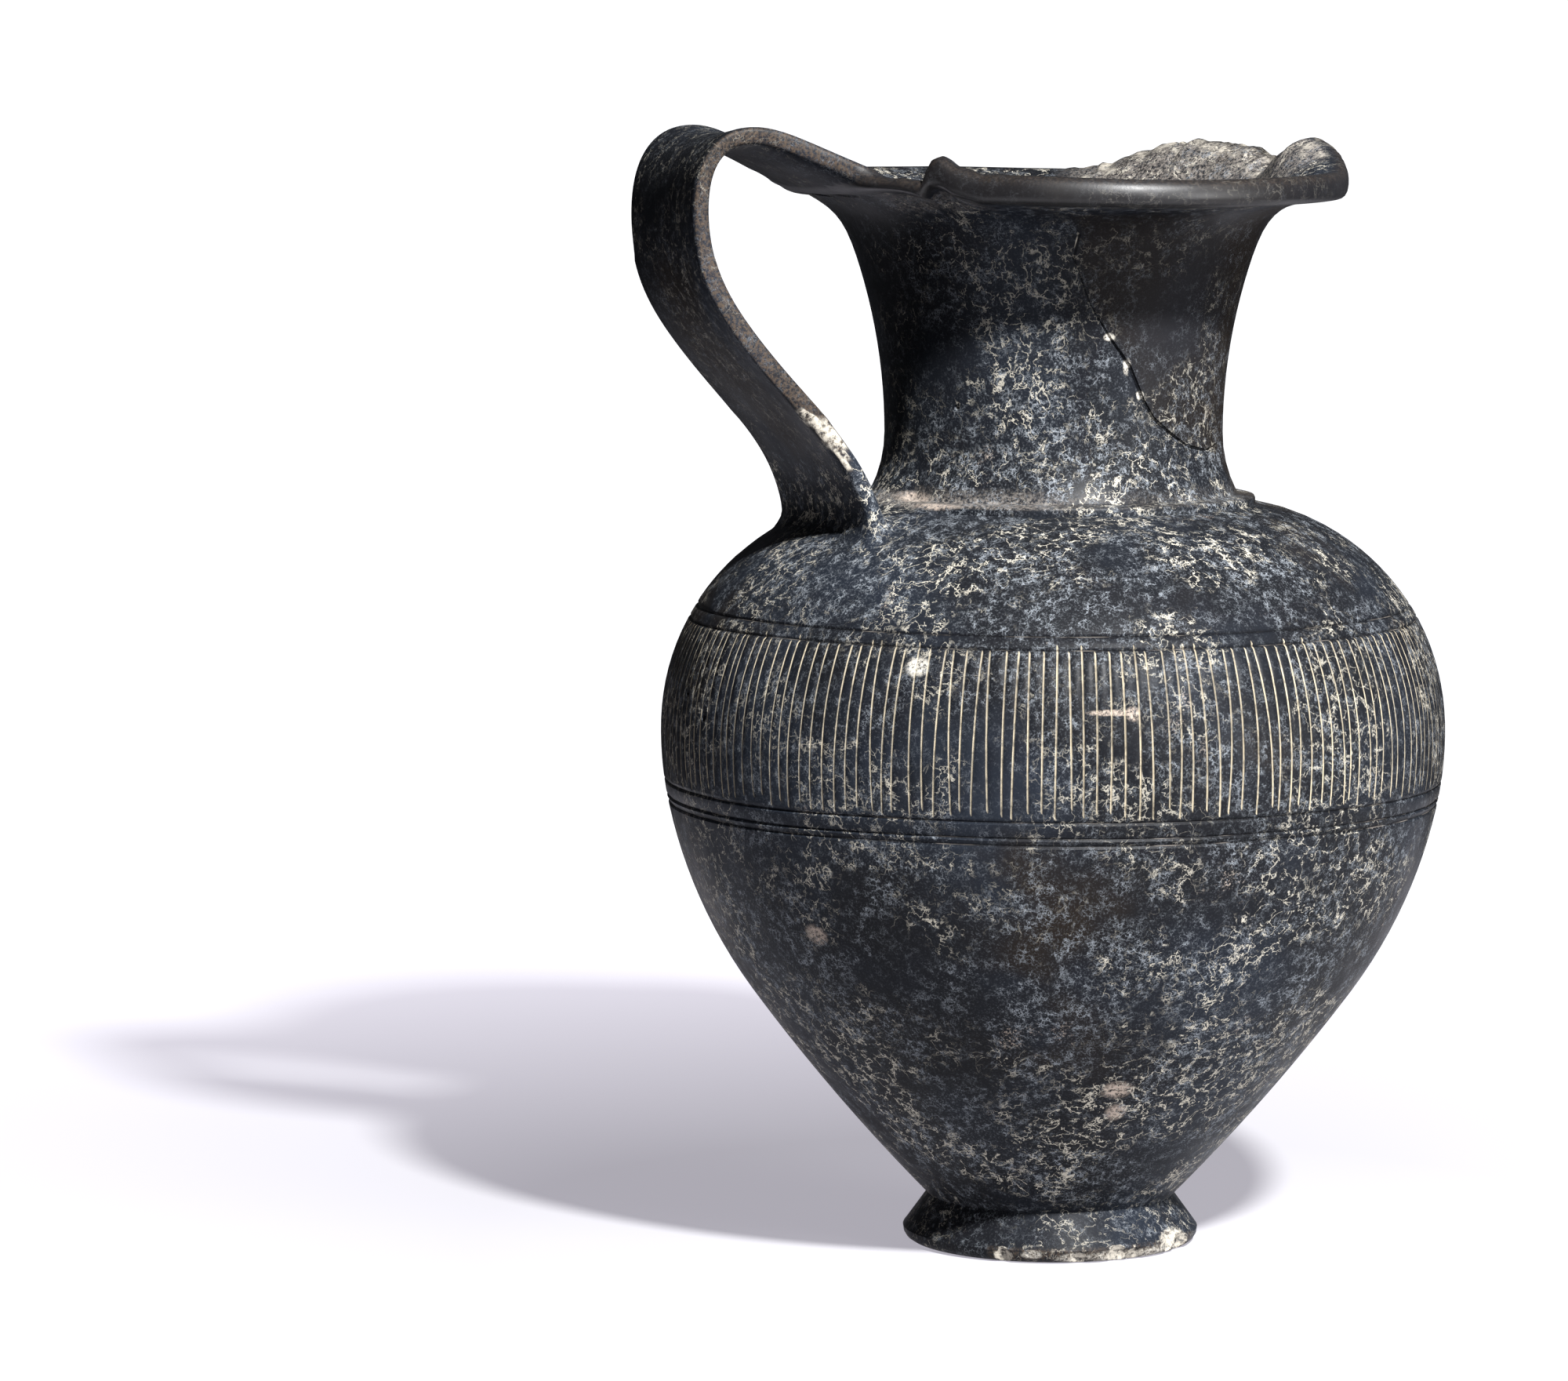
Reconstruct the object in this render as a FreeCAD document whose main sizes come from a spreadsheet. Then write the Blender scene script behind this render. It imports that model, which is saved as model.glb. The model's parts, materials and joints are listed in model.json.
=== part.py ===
import FreeCAD, Part
import math
import os
import Sketcher
from FreeCAD import Placement, Rotation, Vector

# Wheel-thrown jug (oinochoe): ovoid body on a ring foot, a neck luted on inside a collar,
# a wide flaring mouth with two side lobes and a broken spout, and a high strap handle.
# Millimetres, +Z up, origin at the middle of the foot's resting plane, spout towards +X,
# handle towards -X.

document = FreeCAD.newDocument("oinochoe")
sheet = document.addObject("Spreadsheet::Sheet", "Dims")

dimensions = {
    # ring foot
    "foot_radius": 37.6,
    "foot_edge_height": 3.4,
    "sole_width": 5.5,
    "sole_inset": 2.6,
    "foot_hollow_slope": 4.5,
    "foot_hollow_depth": 4.5,
    "waist_inset": 6.2,
    "waist_rise": 8.6,
    # body outline, tangent arcs that meet upright at the belly
    "belly_radius": 99.3,
    "belly_rise": 118.9,
    "lower_belly_arc": 88.6,
    "lower_belly_drop": 18.0,
    "hip_arc": 123.5,
    "hip_drop": 47.8,
    "upper_belly_arc": 64.3,
    "upper_belly_rise": 9.1,
    "shoulder_rise": 48.6,
    # collar round the foot of the neck
    "collar_width": 4.6,
    "collar_slope": 1.2,
    "collar_thickness": 2.1,
    "collar_top_rise": 0.6,
    # neck, two arcs that meet upright at its narrowest place
    "neck_radius": 42.7,
    "neck_foot_flare": 3.7,
    "neck_narrow_rise": 15.0,
    "neck_flare_arc": 140.0,
    "neck_flare_rise": 37.7,
    # hollow inside
    "body_wall": 5.6,
    "neck_wall": 5.2,
    "floor_inset": 3.9,
    "floor_rise": 4.5,
    "throat_widening": 5.3,
    "throat_drop": 7.3,
    # mouth
    "flare_widening": 5.96,
    "flare_rise": 18.6,
    "lip_rise": 8.6,
    "lip_height": 6.6,
    "lip_depth": 6.0,
    "side_lobe_radius": 83.0,
    "spout_radius": 70.0,
    "mouth_back_radius": 68.0,
    "spout_rise": 7.6,
    # strap handle
    "strap_thickness": 5.2,
    "strap_width": 43.0,
    "strap_root_width": 58.0,
    "strap_mouth_width": 66.0,
    "strap_hollow": 4.8,
    "crown_rise": 12.8,
    "crown_reach": 20.0,
    "back_bow": 18.2,
    "back_drop": 24.0,
    "root_reach": 12.0,
    "root_drop": 8.6,
    # turned lines, and the upright ones between them
    "line_width": 1.4,
    "line_depth": 0.6,
    "frieze_top_rise": 28.8,
    "frieze_foot_drop": 12.1,
    "upper_line_gap": 3.1,
    "lower_line_gap": 3.9,
    "lowest_line_gap": 1.8,
    "upright_width": 0.5,
    "upright_depth": 0.35,
    "upright_margin": 1.1,
}
uprights = 186

# Heights and radii that follow from the ones above, so that what sits on a part moves with it.

derived = {
    "sole_radius": "foot_radius - sole_inset",
    "sole_hollow_radius": "sole_radius - sole_width",
    "foot_hollow_radius": "sole_hollow_radius - foot_hollow_slope",
    "waist_radius": "foot_radius - waist_inset",
    "waist_height": "foot_edge_height + waist_rise",
    "belly_height": "waist_height + belly_rise",
    "lower_belly_height": "belly_height - lower_belly_drop",
    "hip_height": "lower_belly_height - hip_drop",
    "upper_belly_height": "belly_height + upper_belly_rise",
    "collar_foot_height": "upper_belly_height + shoulder_rise",
    "neck_foot_radius": "neck_radius + neck_foot_flare",
    "collar_radius": "neck_foot_radius + collar_width",
    "collar_top_radius": "collar_radius - collar_slope",
    "collar_top_height": "collar_foot_height + collar_thickness",
    "neck_foot_height": "collar_top_height + collar_top_rise",
    "neck_narrow_height": "neck_foot_height + neck_narrow_rise",
    "neck_top_height": "neck_narrow_height + neck_flare_rise",
    "floor_radius": "waist_radius - floor_inset",
    "floor_height": "waist_height + floor_rise",
    "throat_radius": "neck_radius - neck_wall + throat_widening",
    "throat_height": "neck_foot_height - throat_drop",
    "flare_height": "neck_top_height + flare_rise",
    "lip_top_height": "flare_height + lip_rise",
    "crown_height": "lip_top_height + crown_rise",
    "back_height": "crown_height - back_drop",
    "root_height": "collar_foot_height - root_drop",
    "frieze_top_height": "belly_height + frieze_top_rise",
    "frieze_foot_height": "belly_height - frieze_foot_drop",
    "upper_line_height": "frieze_top_height + upper_line_gap",
    "lower_line_height": "frieze_foot_height - lower_line_gap",
    "lowest_line_height": "lower_line_height - lowest_line_gap",
}


def fillSheet():
    for row, (alias, value) in enumerate(dimensions.items(), start=1):
        sheet.set(f"A{row}", alias)
        sheet.set(f"B{row}", str(value))
        sheet.setAlias(f"B{row}", alias)
    for row, (alias, formula) in enumerate(derived.items(), start=len(dimensions) + 1):
        sheet.set(f"A{row}", alias)
        sheet.set(f"B{row}", "=" + formula)
        sheet.setAlias(f"B{row}", alias)
    document.recompute()


def size(alias):
    return float(getattr(sheet, alias))


# Sketch helpers. A value that is bound to the sheet is written as its expression.

def originPlane(body, role):
    for feature in body.Origin.OriginFeatures:
        if feature.Role == role:
            return feature
    raise ValueError(role)


def sketchOn(body, name):
    sketch = body.newObject("Sketcher::SketchObject", name)
    sketch.AttachmentSupport = [(originPlane(body, "XZ_Plane"), "")]
    sketch.MapMode = "FlatFace"
    return sketch


def valueOf(expression):
    """Number that an expression of the form A, A + B or A - B gives."""
    total, sign = 0.0, 1.0
    for word in expression.split():
        if word in ("+", "-"):
            sign = 1.0 if word == "+" else -1.0
        else:
            total += sign * size(word.replace("Dims.", ""))
    return total


def bind(sketch, kind, where, expression):
    """Add a dimension to the sketch and tie it to the sheet."""
    index = sketch.addConstraint(Sketcher.Constraint(kind, *where, valueOf(expression)))
    sketch.setExpression(f"Constraints[{index}]", expression)


def pinRadius(sketch, point, expression):
    bind(sketch, "DistanceX", (-1, 1) + point, expression)


def pinHeight(sketch, point, expression):
    bind(sketch, "DistanceY", (-1, 1) + point, expression)


def pin(sketch, point, radius, height):
    pinRadius(sketch, point, radius)
    pinHeight(sketch, point, height)


def join(sketch, first, second):
    sketch.addConstraint(Sketcher.Constraint("Coincident", *first, *second))


def smooth(sketch, first, second):
    sketch.addConstraint(Sketcher.Constraint("Tangent", *first, *second))


def onAxis(sketch, point):
    vertical = -2
    sketch.addConstraint(Sketcher.Constraint("PointOnObject", *point, vertical))


def onGround(sketch, point):
    horizontal = -1
    sketch.addConstraint(Sketcher.Constraint("PointOnObject", *point, horizontal))


def addLine(sketch, start, end):
    return sketch.addGeometry(Part.LineSegment(start, end), False)


def addArc(sketch, centre, low, high):
    """Arc between a lower and an upper point. Returns its number and its low and high ends."""
    circle = Part.Circle(centre, Vector(0, 0, 1), centre.distanceToPoint(low))
    lowAngle = math.atan2(low.y - centre.y, low.x - centre.x)
    highAngle = math.atan2(high.y - centre.y, high.x - centre.x)
    if centre.x < low.x:
        arc = sketch.addGeometry(Part.ArcOfCircle(circle, lowAngle, highAngle), False)
        return arc, (arc, 1), (arc, 2)
    arc = sketch.addGeometry(Part.ArcOfCircle(circle, highAngle % math.tau, lowAngle % math.tau), False)
    return arc, (arc, 2), (arc, 1)


# Outline of the body: five arcs, and the same set in by the wall for the hollow.

def pointAt(centre, radius, height):
    rise = height - centre.y
    return Vector(centre.x + math.sqrt(radius * radius - rise * rise), height, 0)


def arcThrough(start, inward, end):
    """Centre of the arc that leaves start square to the inward direction and reaches end."""
    chord = end - start
    radius = chord.dot(chord) / (2.0 * chord.dot(inward))
    return start + inward * radius


def bodyArcs(wall, foot, top):
    """Centres and joints of the body's arcs between two end points, inset by a wall."""
    belly = Vector(size("belly_radius") - wall, size("belly_height"), 0)
    lowRadius = size("lower_belly_arc") - wall
    hipRadius = size("hip_arc") - wall
    highRadius = size("upper_belly_arc") - wall
    lowCentre = belly - Vector(lowRadius, 0, 0)
    low = pointAt(lowCentre, lowRadius, size("lower_belly_height"))
    hipCentre = low + (lowCentre - low) * (hipRadius / lowRadius)
    hip = pointAt(hipCentre, hipRadius, size("hip_height"))
    footCentre = arcThrough(hip, (hipCentre - hip) / hipRadius, foot)
    highCentre = belly - Vector(highRadius, 0, 0)
    high = pointAt(highCentre, highRadius, size("upper_belly_height"))
    topCentre = arcThrough(high, (highCentre - high) / highRadius, top)
    centres = (footCentre, hipCentre, lowCentre, highCentre, topCentre)
    joints = (foot, hip, low, belly, high, top)
    return centres, joints


def drawBody(sketch, wall, foot, top):
    """Draw the body's arcs. Returns the first and the last point of the chain."""
    inset = f" - Dims.{wall}" if wall else ""
    centres, joints = bodyArcs(size(wall) if wall else 0.0, foot, top)
    arcs = [addArc(sketch, centre, low, high)
            for centre, low, high in zip(centres, joints, joints[1:])]
    for lower, upper in zip(arcs, arcs[1:]):
        smooth(sketch, lower[2], upper[1])
    lowest, hip, low, high, highest = arcs
    pin(sketch, low[2], "Dims.belly_radius" + inset, "Dims.belly_height")
    pinHeight(sketch, (low[0], 3), "Dims.belly_height")
    bind(sketch, "Radius", (low[0],), "Dims.lower_belly_arc" + inset)
    pinHeight(sketch, low[1], "Dims.lower_belly_height")
    bind(sketch, "Radius", (hip[0],), "Dims.hip_arc" + inset)
    pinHeight(sketch, hip[1], "Dims.hip_height")
    bind(sketch, "Radius", (high[0],), "Dims.upper_belly_arc" + inset)
    pinHeight(sketch, high[2], "Dims.upper_belly_height")
    return lowest[1], highest[2]


def neckTop(wall):
    """Radius of the neck at its top, and the slope of its flare there."""
    arc = size("neck_flare_arc") + wall
    rise = size("neck_top_height") - size("neck_narrow_height")
    across = math.sqrt(arc * arc - rise * rise)
    return size("neck_radius") - wall + arc - across, rise / across


def drawNeck(sketch, wall, foot):
    """Draw the neck's two arcs from its foot upwards. Returns the first and the last point."""
    thickness = size(wall) if wall else 0.0
    narrow = Vector(size("neck_radius") - thickness, size("neck_narrow_height"), 0)
    footCentre = arcThrough(narrow, Vector(1, 0, 0), foot)
    flareArc = size("neck_flare_arc") + thickness
    top = Vector(neckTop(thickness)[0], size("neck_top_height"), 0)
    lower = addArc(sketch, footCentre, foot, narrow)
    upper = addArc(sketch, narrow + Vector(flareArc, 0, 0), narrow, top)
    inset = f" - Dims.{wall}" if wall else ""
    outset = f" + Dims.{wall}" if wall else ""
    smooth(sketch, lower[2], upper[1])
    pin(sketch, lower[2], "Dims.neck_radius" + inset, "Dims.neck_narrow_height")
    pinHeight(sketch, (upper[0], 3), "Dims.neck_narrow_height")
    bind(sketch, "Radius", (upper[0],), "Dims.neck_flare_arc" + outset)
    pinHeight(sketch, upper[2], "Dims.neck_top_height")
    return lower[1], upper[2], top


def corner(radius, height):
    return Vector(valueOf(radius) if radius else 0.0, valueOf(height) if height else 0.0, 0)


def drawChain(sketch, corners, start=None):
    """Straight edges through pinned corners (radius, height). An empty one lies on the axis or ground."""
    lines = []
    points = [corner(radius, height) for radius, height in corners]
    for low, high in zip(points, points[1:]):
        lines.append(addLine(sketch, low, high))
    for before, after in zip(lines, lines[1:]):
        join(sketch, (before, 2), (after, 1))
    ends = [(line, 1) for line in lines] + [(lines[-1], 2)]
    for index, (radius, height) in enumerate(corners):
        if radius:
            pinRadius(sketch, ends[index], radius)
        else:
            onAxis(sketch, ends[index])
        if height:
            pinHeight(sketch, ends[index], height)
        else:
            onGround(sketch, ends[index])
    return ends[0], ends[-1]


def turn(body, sketch, name):
    document.recompute()
    turned = body.newObject("PartDesign::Revolution", name)
    turned.Profile = sketch
    turned.ReferenceAxis = (sketch, ["V_Axis"])
    turned.Angle = 360.0
    document.recompute()


def makeVessel():
    """Foot, body, collar and neck, solid to the axis."""
    body = document.addObject("PartDesign::Body", "Vessel")
    sketch = sketchOn(body, "VesselOutline")
    waist = ("Dims.waist_radius", "Dims.waist_height")
    collar = ("Dims.collar_radius", "Dims.collar_foot_height")
    neckFoot = ("Dims.neck_foot_radius", "Dims.neck_foot_height")
    axisFoot, footEnd = drawChain(sketch, [
        (None, "Dims.foot_hollow_depth"),
        ("Dims.foot_hollow_radius", "Dims.foot_hollow_depth"),
        ("Dims.sole_hollow_radius", None),
        ("Dims.sole_radius", None),
        ("Dims.foot_radius", "Dims.foot_edge_height"),
        waist,
    ])
    bodyFoot, bodyTop = drawBody(sketch, None, corner(*waist), corner(*collar))
    join(sketch, footEnd, bodyFoot)
    collarStart, collarEnd = drawChain(sketch, [
        collar,
        ("Dims.collar_top_radius", "Dims.collar_top_height"),
        neckFoot,
    ])
    join(sketch, bodyTop, collarStart)
    neckStart, neckEnd, top = drawNeck(sketch, None, corner(*neckFoot))
    join(sketch, collarEnd, neckStart)
    closeToAxis(sketch, neckEnd, top, axisFoot)
    turn(body, sketch, "VesselTurned")
    return body


def closeToAxis(sketch, rim, top, axisFoot):
    """Close an outline across its top and down the axis."""
    lid = addLine(sketch, top, Vector(0, top.y, 0))
    middle = addLine(sketch, Vector(0, top.y, 0), sketch.getPoint(*axisFoot))
    join(sketch, rim, (lid, 1))
    join(sketch, (lid, 2), (middle, 1))
    join(sketch, (middle, 2), axisFoot)
    sketch.addConstraint(Sketcher.Constraint("Horizontal", lid))
    onAxis(sketch, (lid, 2))


def makeCavity():
    """The hollow inside: body, throat and neck."""
    body = document.addObject("PartDesign::Body", "Cavity")
    sketch = sketchOn(body, "CavityOutline")
    floor = ("Dims.floor_radius", "Dims.floor_height")
    throat = ("Dims.throat_radius", "Dims.throat_height")
    axisFoot, floorEnd = drawChain(sketch, [(None, "Dims.floor_height"), floor])
    bodyFoot, bodyTop = drawBody(sketch, "body_wall", corner(*floor), corner(*throat))
    join(sketch, floorEnd, bodyFoot)
    neckStart, neckEnd, top = drawNeck(sketch, "neck_wall", corner(*throat))
    join(sketch, bodyTop, neckStart)
    pin(sketch, bodyTop, *throat)
    closeToAxis(sketch, neckEnd, top, axisFoot)
    turn(body, sketch, "CavityTurned")
    return body


# Skins: closed rings of guide points, joined by one smooth surface and closed to a solid.

def skinSurface(rings):
    """Smooth surface over rings of guide points, closed round each ring."""
    degree = 3
    around = len(rings[0])
    spans = len(rings) - degree
    alongKnots = [index / spans for index in range(spans + 1)]
    alongTimes = [degree + 1] + [1] * (spans - 1) + [degree + 1]
    aroundKnots = [index / around for index in range(around + 1)]
    surface = Part.BSplineSurface()
    surface.buildFromPolesMultsKnots(
        rings, alongTimes, [1] * (around + 1), alongKnots, aroundKnots,
        False, True, degree, degree)
    return surface


def endWires(surface):
    first = surface.uIso(0.0).toShape()
    last = surface.uIso(1.0).toShape()
    return Part.Wire([first]), Part.Wire([last])


def closeSolid(faces):
    tolerance = 1e-4
    shell = Part.makeShell(faces)
    shell.sewShape(tolerance)
    solid = Part.makeSolid(Part.Shell(shell.Faces))
    if solid.Volume < 0:
        solid.reverse()
    return solid


# Mouth.

def eased(keys, angle):
    """Value at an angle between key angles, level at each key."""
    for (start, low), (end, high) in zip(keys, keys[1:]):
        if start <= angle <= end:
            part = (angle - start) / (end - start)
            return low + (high - low) * (3.0 - 2.0 * part) * part * part
    raise ValueError(angle)


def lipRadius(angle):
    """Outer radius of the lip by angle from the spout: two side lobes, drawn in at the strap."""
    back, lobe, spout = size("mouth_back_radius"), size("side_lobe_radius"), size("spout_radius")
    backCorner = back + 4.0
    spoutCorner = spout + 3.0
    keys = [(-180, back), (-150, backCorner), (-96, lobe), (-24, spoutCorner), (0, spout),
            (24, spoutCorner), (96, lobe), (150, backCorner), (180, back)]
    return eased(keys, angle)


def lipTop(angle):
    """Height of the lip's top: level at the sides, torn up and down round the broken spout."""
    level, rise = size("lip_top_height"), size("spout_rise")
    keys = [(-180, level - 1.0), (-152, level + 1.0), (-145, level + 0.8), (-137, level + 4.0),
            (-122, level + 1.0), (-90, level), (-38, level + 0.6), (-18, level + rise + 1.0),
            (0, level + 1.6), (18, level + rise - 1.4), (33, level + rise),
            (64, level - 0.6), (90, level), (152, level + 1.0), (180, level - 1.0)]
    return eased(keys, angle)


def mouthProfile(angle):
    """Guide points (radius, height) from the neck's top up the outside, over the lip and down."""
    start = size("neck_top_height")
    outer, outerSlope = neckTop(0.0)
    inner, innerSlope = neckTop(size("neck_wall"))
    lead = 4.0
    flare, flareHeight = outer + size("flare_widening"), size("flare_height")
    wall = size("neck_wall")
    depth = size("lip_depth")
    lip, top = lipRadius(angle), lipTop(angle)
    under = size("lip_top_height") - size("lip_height") + 0.3 * (top - size("lip_top_height"))
    overhang = lip - flare
    return [
        (outer, start),
        (outer + lead * outerSlope, start + lead),
        (flare - 1.6, flareHeight - 4.0),
        (flare + 0.24 * overhang, flareHeight + 1.2),
        (lip - depth, under),
        (lip + 0.4, under + 0.1),
        (lip + 0.9, 0.5 * (top + under)),
        (lip - 0.2, top + 0.4),
        (lip - 0.8 * depth, top + 0.3),
        (lip - 2.0 * depth, top - 2.2),
        (flare + 0.5, flareHeight + 2.6),
        (flare - wall - 1.6, flareHeight - 4.6),
        (inner + lead * innerSlope, start + lead),
        (inner, start),
    ]


def makeMouth():
    around = 48
    step = 2.0 * math.pi / around
    fullness = 3.0 / (2.0 + math.cos(step))
    profiles = []
    for index in range(around):
        degrees = -180.0 + 360.0 * index / around
        profiles.append((math.radians(degrees), mouthProfile(degrees)))
    rings = []
    for row in range(len(profiles[0][1])):
        ring = []
        for way, profile in profiles:
            radius = fullness * profile[row][0]
            ring.append(Vector(radius * math.cos(way), radius * math.sin(way), profile[row][1]))
        rings.append(ring)
    surface = skinSurface(rings)
    outer, inner = endWires(surface)
    seat = Part.makeFace([outer, inner], "Part::FaceMakerBullseye")
    mouth = document.addObject("Part::Feature", "Mouth")
    mouth.Shape = closeSolid([surface.toShape()] + seat.Faces)
    return mouth


# Strap handle.

def strapSection(place, outward, width, hollow):
    """Ring of guide points across the strap: hollow outer face, rounded edges, bowed inner face."""
    half = 0.5 * width
    thick = size("strap_thickness")
    tuck = 0.9
    across = (-1.0, -0.93, -0.5, 0.5, 0.93, 1.0)
    ring = []
    for share in across:
        dip = hollow * (1.0 - share * share)
        ring.append((share * half, -tuck if abs(share) == 1.0 else -dip))
    for share in reversed(across):
        dip = hollow * (1.0 - share * share)
        ring.append((share * half, tuck - thick if abs(share) == 1.0 else -thick - dip))
    return [place + Vector(0, side, 0) + outward * out for side, out in ring]


def strapStations():
    """Places along the strap's outer edge (reach, height), with its width and hollow there."""
    root, rootHeight = size("collar_radius") + size("root_reach"), size("root_height")
    crown, crownHeight = size("mouth_back_radius") + size("crown_reach"), size("crown_height")
    back, backHeight = crown + size("back_bow"), size("back_height")
    width, rootWidth, mouthWidth = size("strap_width"), size("strap_root_width"), size("strap_mouth_width")
    hollow, lip = size("strap_hollow"), size("lip_top_height")
    climb, lean = backHeight - rootHeight, back - root
    return [
        (root - 1.0, rootHeight, rootWidth, 0.0),
        (root, rootHeight + 0.11 * climb, rootWidth, 0.0),
        (root + 0.10 * lean, rootHeight + 0.26 * climb, 0.9 * rootWidth, 0.0),
        (root + 0.50 * lean, rootHeight + 0.48 * climb, 0.84 * rootWidth, 0.1 * hollow),
        (root + 0.88 * lean, rootHeight + 0.72 * climb, width + 5.0, 0.3 * hollow),
        (back + 1.0, backHeight - 0.08 * climb, width + 1.0, 0.4 * hollow),
        (back + 1.0, backHeight + 0.55 * (crownHeight - backHeight), width, 0.5 * hollow),
        (crown + 0.62 * (back - crown), crownHeight - 0.2, width, 0.6 * hollow),
        (crown, crownHeight + 1.2, width, 0.8 * hollow),
        (crown - 9.0, crownHeight - 1.6, width + 4.0, hollow),
        (crown - 21.0, lip + 0.42 * (crownHeight - lip), mouthWidth - 12.0, hollow),
        (crown - 29.0, lip + 1.6, mouthWidth, 0.9 * hollow),
    ]


def makeStrap():
    stations = strapStations()
    centres = [Vector(-reach, 0, height) for reach, height, width, hollow in stations]
    rings = []
    for index, (reach, height, width, hollow) in enumerate(stations):
        before = centres[max(index - 1, 0)]
        after = centres[min(index + 1, len(centres) - 1)]
        along = after - before
        along.normalize()
        outward = Vector(-along.z, 0, along.x)
        rings.append(strapSection(centres[index], outward, width, hollow))
    surface = skinSurface(rings)
    first, last = endWires(surface)
    strap = document.addObject("Part::Feature", "Strap")
    strap.Shape = closeSolid([surface.toShape(), Part.Face(first), Part.Face(last)])
    return strap


# Incised lines round the body.

def bodySkin(height):
    """Point of the body's outline at a height and the direction out of the clay there."""
    foot = Vector(size("waist_radius"), size("waist_height"), 0)
    top = Vector(size("collar_radius"), size("collar_foot_height"), 0)
    centres, joints = bodyArcs(0.0, foot, top)
    for centre, low, high in zip(centres, joints, joints[1:]):
        if low.y <= height <= high.y:
            point = pointAt(centre, centre.distanceToPoint(low), height)
            outward = (point - centre).normalize()
            return Vector(point.x, 0, point.y), Vector(outward.x, 0, outward.y)
    raise ValueError(height)


def makeTurnedLines():
    """Thin rings, three-cornered in section, that are cut out of the body's skin."""
    names = ("upper_line", "frieze_top", "frieze_foot", "lower_line", "lowest_line")
    clear = 0.3
    depth = size("line_depth")
    half = 0.5 * size("line_width") * (1.0 + clear / depth)
    rings = []
    for name in names:
        point, outward = bodySkin(size(f"{name}_height"))
        along = Vector(-outward.z, 0, outward.x)
        top = point + outward * clear
        corners = [point - outward * depth, top + along * half, top - along * half]
        face = Part.Face(Part.makePolygon(corners + corners[:1]))
        rings.append(face.revolve(Vector(0, 0, 0), Vector(0, 0, 1), 360.0))
    lines = document.addObject("Part::Feature", "TurnedLines")
    lines.Shape = Part.makeCompound(rings)
    return lines


def makeUprights():
    """Blades that stand round the frieze and follow the body's outline a little under its skin."""
    low = size("frieze_foot_height") + size("upright_margin")
    high = size("frieze_top_height") - size("upright_margin")
    stops = [low, size("belly_height"), size("upper_belly_height"), high]
    depth, width = size("upright_depth"), size("upright_width")
    clear = 0.5
    edges = []
    for start, end in zip(stops, stops[1:]):
        places = [bodySkin(height) for height in (start, 0.5 * (start + end), end)]
        edges.append(Part.Arc(*[point - outward * depth for point, outward in places]).toShape())
    foot, footOut = bodySkin(low)
    top, topOut = bodySkin(high)
    outside = Vector(size("belly_radius") + clear, 0, high)
    corners = [top - topOut * depth, top + topOut * clear, outside,
               Vector(outside.x, 0, low), foot + footOut * clear, foot - footOut * depth]
    edges.append(Part.makePolygon(corners))
    face = Part.Face(Part.Wire(sum([edge.Edges for edge in edges], [])))
    face.translate(Vector(0, -0.5 * width, 0))
    blade = face.extrude(Vector(0, width, 0))
    blades = []
    for index in range(uprights):
        copy = blade.copy()
        copy.rotate(Vector(0, 0, 0), Vector(0, 0, 1), 360.0 * index / uprights)
        blades.append(copy)
    cutters = document.addObject("Part::Feature", "Uprights")
    cutters.Shape = Part.makeCompound(blades)
    return cutters


# Assembly of the one fired piece.

def combine(kind, name, **links):
    result = document.addObject(kind, name)
    for key, value in links.items():
        setattr(result, key, value)
    return result


def checkDocument():
    for item in document.Objects:
        if "Invalid" in item.State or "Error" in item.State:
            raise RuntimeError(item.Name + " " + str(item.State))
        if item.isDerivedFrom("Sketcher::SketchObject") and item.solve() != 0:
            raise RuntimeError(item.Name + " isn't solved")


def main():
    fillSheet()
    vessel = makeVessel()
    cavity = makeCavity()
    mouth = makeMouth()
    strap = makeStrap()
    turnedLines = makeTurnedLines()
    scratches = makeUprights()
    clay = combine("Part::MultiFuse", "Clay", Shapes=[vessel, mouth, strap])
    hollowed = combine("Part::Cut", "Hollowed", Base=clay, Tool=cavity)
    turned = combine("Part::Cut", "Turned", Base=hollowed, Tool=turnedLines)
    jug = combine("Part::Cut", "Jug", Base=turned, Tool=scratches)
    jug.Label = "oinochoe"
    jug.Placement = Placement(Vector(0, 0, 0), Rotation())
    document.recompute()
    checkDocument()
    os.makedirs("parts", exist_ok=True)
    shape = jug.Shape
    if shape.isNull() or not shape.isValid() or len(shape.Solids) != 1:
        raise RuntimeError("the jug isn't one valid solid")
    shape.exportStep("parts/" + jug.Label + ".step")
    box = shape.BoundBox
    print("size", round(box.XLength, 1), round(box.YLength, 1), round(box.ZLength, 1))
    print("volume", round(shape.Volume / 1000.0, 1), "cm3, faces", len(shape.Faces))


main()
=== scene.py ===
import json
import math
import random

import bpy
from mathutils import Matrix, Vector, noise

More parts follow.
